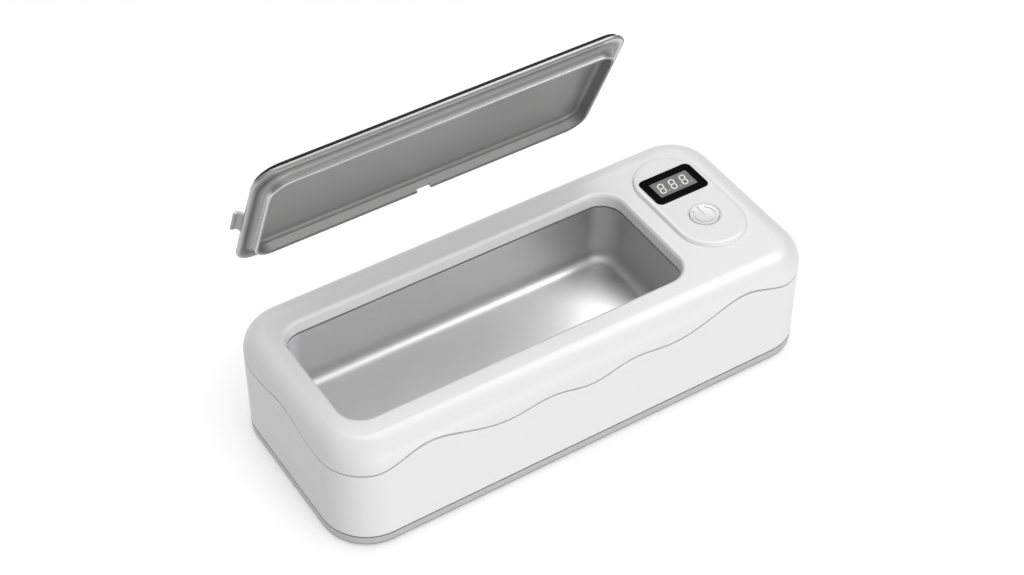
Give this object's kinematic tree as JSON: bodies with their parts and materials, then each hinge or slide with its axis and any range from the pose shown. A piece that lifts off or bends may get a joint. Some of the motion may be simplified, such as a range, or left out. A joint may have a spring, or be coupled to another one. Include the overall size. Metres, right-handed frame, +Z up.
{
  "type": "ultrasonic cleaner",
  "caption": "Long table-top ultrasonic cleaner: white rounded housing, open steel tank, oval panel with digit display and round power button, and a raised silver tray lid.",
  "frame": {"origin": "middle of the base's flat underside; the rubber feet stand 0.8 mm below it", "axes": "+X along the length towards the control panel, +Y to the rear, +Z up"},
  "size_m": [0.205, 0.0955, 0.1251],
  "materials": {
    "shell_white": "semi-gloss moulded",
    "panel_white": "semi-gloss moulded",
    "base_silver": "satin",
    "lid_silver": "satin",
    "tank_steel": "drawn and brushed",
    "dark_rubber": "matt",
    "seal_rubber": "matt",
    "screw_steel": "plated",
    "clamp_steel": "zinc plated",
    "epoxy": "cured resin",
    "piezo_ceramic": "silvered faces",
    "lead_red": "matt",
    "lead_black": "matt",
    "board_green": "lacquered",
    "ferrite": "matt",
    "copper_wire": "enamelled",
    "capacitor_sleeve": "gloss sleeve",
    "film_orange": "dipped",
    "sink_aluminium": "extruded",
    "component_black": "moulded",
    "connector_white": "moulded",
    "display_black": "high gloss",
    "display_grey": "high gloss",
    "segment_white": "lit",
    "ribbon_grey": "matt",
    "pin_brass": "polished"
  },
  "bodies": {
    "cleaner": {"upper_housing": "shell_white", "lower_housing": "shell_white", "base_plate": "base_silver", "foot_pads": "dark_rubber", "base_screws": "screw_steel", "tank": "tank_steel", "tank_gasket": "seal_rubber", "tank_clamp": "clamp_steel", "clamp_screws": "screw_steel", "transducer_bond": "epoxy", "piezo_disc": "piezo_ceramic", "transducer_leads": "lead_red", "driver_board": "board_green", "board_screws": "screw_steel", "transformer_core": "ferrite", "transformer_winding": "copper_wire", "filter_capacitors": "capacitor_sleeve", "film_capacitor": "film_orange", "heat_sink": "sink_aluminium", "power_transistor": "component_black", "board_connectors": "connector_white", "control_panel": "panel_white", "display_bezel": "display_black", "display_window": "display_grey", "digit_segments": "segment_white", "display_module": "component_black", "control_board": "board_green", "control_screws": "screw_steel", "push_switch": "component_black", "ribbon_cable": "ribbon_grey", "power_inlet": "component_black", "inlet_pin": "pin_brass", "inlet_leads": "lead_black"},
    "button": {"power_button": "panel_white", "switch_plunger": "component_black"},
    "lid": {"lid_liner": "lid_silver", "lid_edge_seal": "dark_rubber", "lid_cover": "lid_silver"}
  },
  "joints": [
    {"name": "lid_swing", "type": "hinge", "parent": "cleaner", "child": "lid", "pos_m": [-0.0175, 0.0536, 0.0429], "axis": [1, 0, 0], "range_deg": [0, 66.5]},
    {"name": "button_press", "type": "slide", "parent": "cleaner", "child": "button", "axis": [0, 0, -1], "range_m": [0, 0.0006], "stiffness_N_per_m": 1500}
  ]
}
